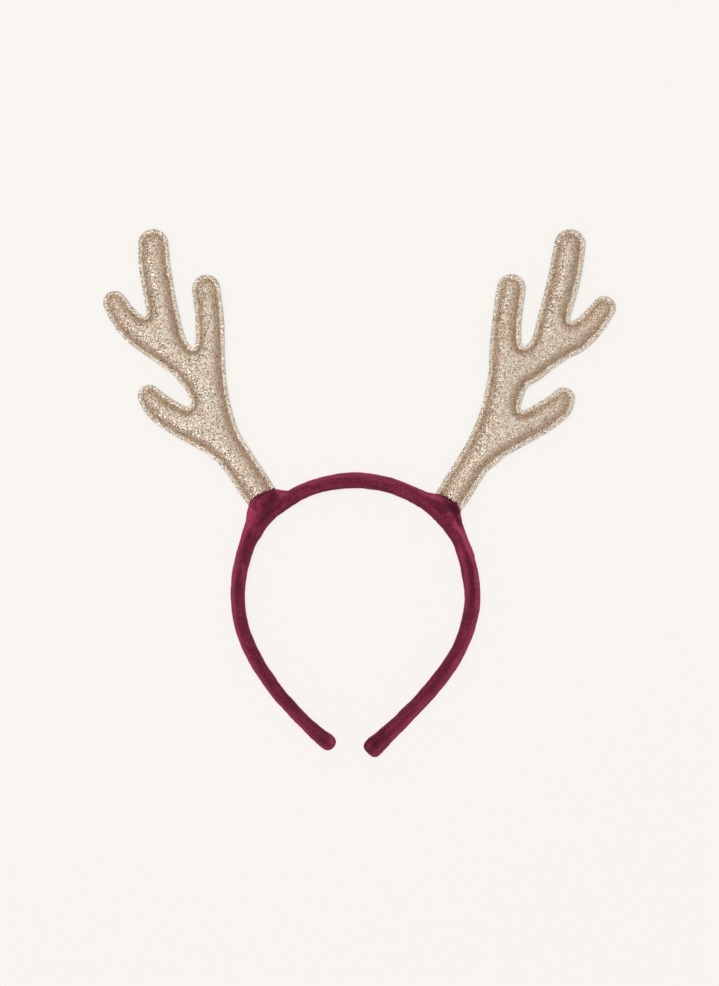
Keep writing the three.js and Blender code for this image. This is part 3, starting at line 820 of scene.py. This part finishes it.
def sleeve_fringe(material):
    """The cut edge of the velvet round both antlers: leaning tufts, each a pyramid on three corners.

    They stand along the lips of the sleeves, in clumps whose length follows a soft random wave.
    """
    rng = np.random.default_rng(8)
    stations = band_stations(BAND_STEPS)
    x = band_section(stations, FACE_ROWS)[0]
    pick = rng.choice(np.flatnonzero(stations["slot"] > 0.35), TUFTS)
    face = rng.choice([-1, 1], TUFTS)
    outward, tangent = stations["outward"][pick], stations["tangent"][pick]
    off = rng.uniform(-0.17, 0.17, (TUFTS, 1))
    root = stations["middle"][pick] + outward * (x[pick, 0] - 0.25)[:, None] + tangent * off
    root = np.column_stack([root, (stations["opening"][pick] + rng.uniform(0.05, 0.4, TUFTS)) * face])
    flat_lean = outward + tangent * rng.normal(0, 0.5, (TUFTS, 1))
    lean = np.column_stack([flat_lean, rng.normal(0, 0.35, TUFTS) - 0.2 * face])
    lean /= np.linalg.norm(lean, axis=1, keepdims=True)
    side = np.cross(lean, rng.normal(size=(TUFTS, 3)))
    side /= np.linalg.norm(side, axis=1, keepdims=True)
    turns = np.arange(3)[None, :, None] * 2 * np.pi / 3
    thick = rng.uniform(0.15, 0.28, (TUFTS, 1, 1))
    spread = side[:, None] * np.cos(turns) + np.cross(lean, side)[:, None] * np.sin(turns)
    clump = np.clip(ripples(stations["along"][pick][:, None] + 40 * face[:, None], 1.8, 12), 0, 1.3)
    tip = root + lean * (rng.uniform(0.35, 0.75, TUFTS) + 0.7 * clump)[:, None]
    points = np.concatenate([root[:, None] + thick * spread, tip[:, None]], 1).reshape(-1, 3)
    tuft = np.array([(0, 1, 3), (1, 2, 3), (2, 0, 3), (2, 1, 0)])
    faces = (np.arange(TUFTS)[:, None, None] * 4 + tuft).reshape(-1, 3)
    # Each tuft's tone at random, darker on average as painted shadow in the gap along the sleeve's lip.
    nap_and_painted_light = np.repeat(rng.uniform(-0.6, 0.1, TUFTS), 4)
    attributes = {"nap_and_painted_light": nap_and_painted_light}
    piece = new_piece("sleeve_fringe", placed(points), [faces], material, False, attributes)
    return piece


# Materials


def add(tree, kind, inputs=None, **settings):
    """A shader node with its settings, and with its inputs linked or set."""
    made = tree.nodes.new("ShaderNode" + kind)
    for key, value in settings.items():
        setattr(made, key, value)
    for key, value in (inputs or {}).items():
        if isinstance(value, bpy.types.NodeSocket):
            tree.links.new(value, made.inputs[key])
        else:
            made.inputs[key].default_value = value
    return made


def attribute_of(tree, name):
    return add(tree, "Attribute", attribute_name=name).outputs["Fac"]


def math(tree, operation, *values):
    return add(tree, "Math", dict(enumerate(values)), operation=operation).outputs[0]


def blended(tree, share, first, second):
    """A colour between two others."""
    made = add(tree, "Mix", {0: share, 6: first, 7: second}, data_type="RGBA")
    return made.outputs[2]


def new_group(name, inputs, outputs):
    group = bpy.data.node_groups.new(name, "ShaderNodeTree")
    for key, kind, default in inputs:
        socket = group.interface.new_socket(key, in_out="INPUT", socket_type="NodeSocket" + kind)
        if default is not None:
            socket.default_value = default
    for key, kind in outputs:
        group.interface.new_socket(key, in_out="OUTPUT", socket_type="NodeSocket" + kind)
    return group, group.nodes.new("NodeGroupInput").outputs, group.nodes.new("NodeGroupOutput")


def new_material(name, colour_value, roughness):
    material = bpy.data.materials.new(name)
    material.use_nodes = True
    shader = material.node_tree.nodes["Principled BSDF"]
    shader.inputs["Base Color"].default_value = (*colour_value, 1)
    shader.inputs["Roughness"].default_value = roughness
    return material, material.node_tree, shader


def nap_group():
    """Short fibres: a fine speckle, and patches where the pile lies another way."""
    group, given, output = new_group(
        "Nap",
        [("Vector", "Vector", None), ("Fibres", "Float", FIBRES_PER_METRE), ("Patches", "Float", 90.0)],
        [("Speckle", "Float"), ("Patch", "Float")],
    )
    for scale, detail, roughness, out in (("Fibres", 2.0, 0.7, "Speckle"), ("Patches", 3.0, 0.55, "Patch")):
        inputs = {"Vector": given["Vector"], "Scale": given[scale], "Detail": detail, "Roughness": roughness}
        noise = add(group, "TexNoise", inputs)
        group.links.new(noise.outputs["Fac"], output.inputs[out])
    return group


def flake_group():
    """Glitter: cells of one flake each with random numbers and a tilted normal, and broad soft patches."""
    group, given, output = new_group(
        "Flakes",
        [
            ("Vector", "Vector", None),
            ("Flakes per metre", "Float", FLAKES_PER_METRE),
            ("Tilt", "Float", FLAKE_TILT),
        ],
        [("Chance", "Float"), ("Second chance", "Float"), ("Patch", "Float"), ("Normal", "Vector")],
    )
    place = given["Vector"]
    cells = add(group, "TexVoronoi", {"Vector": place, "Scale": given["Flakes per metre"]})
    parts = add(group, "SeparateColor", {0: cells.outputs["Color"]})
    broad = math(group, "MULTIPLY", given["Flakes per metre"], 0.16)
    patch = add(group, "TexNoise", {"Vector": place, "Scale": broad, "Detail": 2.0, "Roughness": 0.6})
    away = add(group, "VectorMath", {0: cells.outputs["Color"], 1: (0.5, 0.5, 0.5)}, operation="SUBTRACT")
    tilt = add(group, "VectorMath", {0: away.outputs[0], "Scale": given["Tilt"]}, operation="SCALE")
    surface = add(group, "NewGeometry")
    leaning = add(group, "VectorMath", {0: surface.outputs["Normal"], 1: tilt.outputs[0]}, operation="ADD")
    normal = add(group, "VectorMath", {0: leaning.outputs[0]}, operation="NORMALIZE")
    group.links.new(parts.outputs[0], output.inputs["Chance"])
    group.links.new(parts.outputs[1], output.inputs["Second chance"])
    group.links.new(patch.outputs["Fac"], output.inputs["Patch"])
    group.links.new(normal.outputs[0], output.inputs["Normal"])
    return group


def group_node(tree, name, inputs):
    return add(tree, "Group", inputs, node_tree=bpy.data.node_groups[name]).outputs


def ramp(tree, value, low, high, to_low=0.0, to_high=1.0):
    given = {"Value": value, "From Min": low, "From Max": high, "To Min": to_low, "To Max": to_high}
    return add(tree, "MapRange", given, interpolation_type="SMOOTHSTEP").outputs[0]


def colours_along(tree, value, *stops):
    """A colour that runs through the stops, each a position from 0 to 1 with its colour."""
    made = tree.nodes.new("ShaderNodeValToRGB")
    tree.links.new(value, made.inputs[0])
    steps = made.color_ramp.elements
    for position, shade in stops[2:]:
        steps.new(position)
    for step, (position, shade) in zip(steps, stops):
        step.position = position
        step.color = (*shade, 1)
    return made.outputs[0]


def velvet_material():
    """Velvet: dark in the middle of the band, and lighter on both flanks with painted sheen."""
    made = sizes()
    material, tree, shader = new_material("velvet", made.velvet, 0.85)
    place = add(tree, "TexCoord").outputs["Object"]
    nap = group_node(tree, "Nap", {"Vector": place})
    outwards = attribute_of(tree, "outwards")
    # Painted light and shade of folds, slots and lips, and the pile's random tone.
    nap_and_painted_light = attribute_of(tree, "nap_and_painted_light")
    # Painted sheen: the pile's colour grows lighter towards both edges of the section.
    outer = ramp(tree, outwards, 0.0, 0.88, 0.0, 0.82)
    inner = ramp(tree, outwards, -0.15, -0.9, 0.0, 0.24)
    flank = math(tree, "MAXIMUM", outer, inner)
    patch = ramp(tree, nap["Patch"], 0.3, 0.7, -0.13, 0.13)
    speckle = ramp(tree, nap["Speckle"], 0.3, 0.7, -0.4, 0.4)
    share = math(tree, "ADD", math(tree, "ADD", flank, patch), math(tree, "ADD", nap_and_painted_light, speckle))
    stops = (0.0, made.velvet_deep), (0.4, made.velvet), (1.0, made.velvet_painted_sheen)
    tone = colours_along(tree, math(tree, "MULTIPLY_ADD", share, 0.6, 0.4), *stops)
    tree.links.new(tone, shader.inputs["Base Color"])
    shader.inputs["Sheen Weight"].default_value = 0.35
    shader.inputs["Sheen Roughness"].default_value = 0.4
    shader.inputs["Sheen Tint"].default_value = (0.9, 0.16, 0.34, 1)
    shader.inputs["Specular IOR Level"].default_value = 0.1
    bump = add(tree, "Bump", {"Height": nap["Speckle"], "Strength": 0.5, "Distance": 0.0004})
    tree.links.new(bump.outputs[0], shader.inputs["Normal"])
    return material


def glitter_material():
    """Glitter cloth: every flake is lighter or darker and leans its own way, a few of them like mirrors.

    Painted shade makes the cloth browner and darker, with fewer white flakes, on the flanks beside
    the seam. It is paler on the crown and palest on the flat rim, with a painted highlight at its edge.
    """
    made = sizes()
    material, tree, shader = new_material("glitter_cloth", made.crown, 0.5)
    place = add(tree, "TexCoord").outputs["Object"]
    fine = group_node(tree, "Flakes", {"Vector": place})
    inset = attribute_of(tree, "inset")
    edge = attribute_of(tree, "edge")
    rim = ramp(tree, inset, 0.1, -0.7)
    # Painted shade: the cloth turns browner and darker on the flanks beside the seam, but not on the rim.
    flank = math(tree, "SUBTRACT", ramp(tree, inset, 5.2, 1.4), rim)
    shade = math(tree, "MULTIPLY_ADD", flank, -0.40, 0.73)
    patchy = math(tree, "ADD", shade, ramp(tree, fine["Patch"], 0.3, 0.7, -0.2, 0.2))
    stops = (0.0, made.ground), (0.3, made.flank), (0.7, made.crown), (1.0, made.pale)
    tone = colours_along(tree, patchy, *stops)
    cloth = blended(tree, math(tree, "MULTIPLY", rim, 0.85), tone, (*made.rim_colour, 1))
    dark = ramp(tree, fine["Chance"], 0.0, 0.55, 0.28, 1.0)
    dim = add(tree, "VectorMath", {0: cloth, "Scale": dark}, operation="SCALE").outputs[0]
    white = ramp(tree, fine["Chance"], 0.55, 1.0, 0.0, 0.90)
    # Painted shade: fewer white flakes on the flanks.
    white = math(tree, "MULTIPLY", white, math(tree, "MULTIPLY_ADD", flank, -0.4, 1.0))
    # Painted highlight: more white flakes along the rim's outer edge, against the shade of its rounded edge.
    white = math(tree, "ADD", white, ramp(tree, inset, -1.5, -2.2, 0.0, 0.10))
    white = math(tree, "ADD", white, ramp(tree, edge, -0.6, 0.0, 0.0, 0.40))
    tree.links.new(blended(tree, white, dim, (*made.white_flakes, 1)), shader.inputs["Base Color"])
    mirror = ramp(tree, fine["Second chance"], 0.86, 0.90)
    tree.links.new(math(tree, "MULTIPLY_ADD", mirror, 0.55, 0.35), shader.inputs["Metallic"])
    tree.links.new(math(tree, "MULTIPLY_ADD", mirror, -0.22, 0.52), shader.inputs["Roughness"])
    tree.links.new(fine["Normal"], shader.inputs["Normal"])
    return material


# The stage


def floor_material():
    """The camera sees a plain glowing floor with a faint shadow, and the headband sees a dull one."""
    made = sizes()
    material = bpy.data.materials.new("floor")
    material.use_nodes = True
    tree = material.node_tree
    tree.nodes.clear()
    seen = add(tree, "LightPath").outputs["Is Camera Ray"]
    glow = add(tree, "Emission", {"Color": (*made.floor, 1), "Strength": FLOOR_GLOW})
    pale = tuple(FLOOR_SHARE * value for value in made.floor)
    lit = add(tree, "BsdfDiffuse", {"Color": (*pale, 1)})
    bright = add(tree, "AddShader", {0: glow.outputs[0], 1: lit.outputs[0]})
    dull = tuple(FLOOR_BOUNCE * value for value in made.floor)
    dim = add(tree, "BsdfDiffuse", {"Color": (*dull, 1)})
    both = add(tree, "MixShader", {0: seen, 1: dim.outputs[0], 2: bright.outputs[0]})
    output = add(tree, "OutputMaterial", {0: both.outputs[0]})
    output.is_active_output = True
    return material


def surroundings():
    """Soft light from everywhere above, stronger overhead. The camera sees it as plain as the floor."""
    made = sizes()
    world = bpy.data.worlds.new("studio")
    bpy.context.scene.world = world
    world.use_nodes = True
    tree = world.node_tree
    tree.nodes.clear()
    direction = add(tree, "TexCoord").outputs["Generated"]
    height = add(tree, "SeparateXYZ", {0: direction}).outputs[2]
    strength = ramp(tree, height, 0.0, 0.9, 0.22, 0.55)
    light = add(tree, "Background", {"Color": (1.0, 0.97, 0.93, 1), "Strength": strength})
    plain = add(tree, "Background", {"Color": (*made.floor, 1), "Strength": 0.97})
    seen = add(tree, "LightPath").outputs["Is Camera Ray"]
    both = add(tree, "MixShader", {0: seen, 1: light.outputs[0], 2: plain.outputs[0]})
    add(tree, "OutputWorld", {0: both.outputs[0]})


def overhead_light():
    lamp = bpy.data.lights.new("overhead", "AREA")
    lamp.shape = "DISK"
    lamp.size = 1.1
    lamp.energy = 27
    lamp.color = (1.0, 0.975, 0.94)
    holder = bpy.data.objects.new("overhead", lamp)
    holder.location = (-0.12, 0.10, 1.9)
    holder.rotation_euler = (0.05, -0.06, 0)
    bpy.context.scene.collection.objects.link(holder)


def camera_above():
    """Straight above the middle, at the distance at which a pixel is as long as in the photograph."""
    middle = placed(np.zeros((1, 3)))[0, 2] * MM
    data = bpy.data.cameras.new("camera")
    data.lens = CAMERA_LENS
    holder = bpy.data.objects.new("camera", data)
    holder.location = (0, 0, middle + CAMERA_LENS / data.sensor_width * FRAME_HEIGHT)
    bpy.context.scene.collection.objects.link(holder)
    bpy.context.scene.camera = holder


def lay_floor():
    half = 3.0
    mesh = bpy.data.meshes.new("floor")
    corners = [(-half, -half, 0), (half, -half, 0), (half, half, 0), (-half, half, 0)]
    mesh.from_pydata(corners, [], [(0, 1, 2, 3)])
    mesh.materials.append(floor_material())
    floor = bpy.data.objects.new("floor", mesh)
    bpy.context.scene.collection.objects.link(floor)


# The add-on


class HeadbandSizes(bpy.types.PropertyGroup):
    band_width: millimetres("Band width", 129.5, "Outside width of the band")
    band_height: millimetres("Band height", 147.5, "From the crown of the band to its tips")
    band_thickness: millimetres("Band thickness", 7.8, "How thick the padded band is, away from the head")
    band_depth: millimetres("Band depth", 12.4, "From the band's front edge to its back edge")
    sleeve_rise: millimetres("Sleeve rise", 6.1, "How far a sleeve stands out from the band")
    sleeve_wall: millimetres("Sleeve wall", 1.0, "Velvet over an antler's foot")
    antler_height: millimetres("Antler height", 147, "From the middle of the band to the highest tip")
    antler_thickness: millimetres("Antler thickness", 9, "Through a tine, front to back")
    tine_width: millimetres("Tine width", 15.6, "Across a tine, with its flat rim")
    rim: millimetres("Rim", 2.4, "The flat rim outside an antler's seam")
    cloth: millimetres("Cloth", 0.9, "Half the thickness of the flat rim")
    velvet: colour("Velvet", (0.115, 0.0130, 0.031), "Velvet where one looks down into the pile")
    # Deep velvet is painted shade in hollows, in the slots and along their lips, and also the darkest random
    # speckle.
    velvet_deep: colour("Deep velvet", (0.045, 0.006, 0.013), "Velvet in a hollow or brushed backwards")
    # Light velvet is painted sheen on the flanks and a painted highlight on the ridges of folds.
    velvet_painted_sheen: colour("Light velvet", (0.335, 0.042, 0.099), "Velvet where the pile leans away")
    # Ground and flank are browner tones that paint shade on the flanks beside the seam; crown and pale are
    # the cloth on top, pale also in random patches.
    ground: colour("Ground", (0.50, 0.33, 0.19), "The glitter cloth in its deepest shade")
    flank: colour("Flank", (0.645, 0.436, 0.270), "Flakes on the flanks beside the seam")
    crown: colour("Crown", (0.565, 0.440, 0.314), "Flakes on top of the padding")
    pale: colour("Pale", (0.62, 0.515, 0.405), "The palest cloth")
    rim_colour: colour("Rim colour", (0.561, 0.493, 0.385), "Flakes on the flat rim")
    # White flakes come at random, and as a painted highlight along the antlers' outer edge.
    white_flakes: colour("White flakes", (0.95, 0.93, 0.90), "The brightest flakes")
    floor: colour("Floor", (0.947, 0.922, 0.888), "The table that the headband lies on")


class MakeBand(bpy.types.Operator):
    """Make the padded velvet band with its sleeves"""

    bl_idname = "headband.make_band"
    bl_label = "Velvet band"

    def execute(self, context):
        material = velvet_material()
        velvet_band(material)
        sleeve_fringe(material)
        return {"FINISHED"}


class MakeAntlers(bpy.types.Operator):
    """Make both stuffed glitter antlers"""

    bl_idname = "headband.make_antlers"
    bl_label = "Glitter antlers"

    def execute(self, context):
        material = glitter_material()
        for side in LIMBS:
            stuffed_antler(side, material)
        return {"FINISHED"}


class MakeStage(bpy.types.Operator):
    """Lay the floor and set up the light and the camera"""

    bl_idname = "headband.make_stage"
    bl_label = "Stage"

    def execute(self, context):
        lay_floor()
        surroundings()
        overhead_light()
        camera_above()
        context.scene.view_settings.view_transform = "Standard"
        return {"FINISHED"}


class HeadbandPanel(bpy.types.Panel):
    """Sizes, colours and pieces of the headband"""

    bl_idname = "VIEW3D_PT_headband"
    bl_label = "Reindeer antler headband"
    bl_space_type = "VIEW_3D"
    bl_region_type = "UI"
    bl_category = "Headband"

    def draw(self, context):
        for name in HeadbandSizes.__annotations__:
            self.layout.prop(context.scene.headband, name)
        for operator in (MakeStage, MakeBand, MakeAntlers):
            self.layout.operator(operator.bl_idname)


CLASSES = (HeadbandSizes, MakeBand, MakeAntlers, MakeStage, HeadbandPanel)


def register():
    for item in CLASSES:
        bpy.utils.register_class(item)
    bpy.types.Scene.headband = PointerProperty(type=HeadbandSizes)


def unregister():
    del bpy.types.Scene.headband
    for item in reversed(CLASSES):
        bpy.utils.unregister_class(item)


def main():
    register()
    nap_group()
    flake_group()
    bpy.ops.headband.make_stage()
    bpy.ops.headband.make_band()
    bpy.ops.headband.make_antlers()


if __name__ == "__main__":
    main()
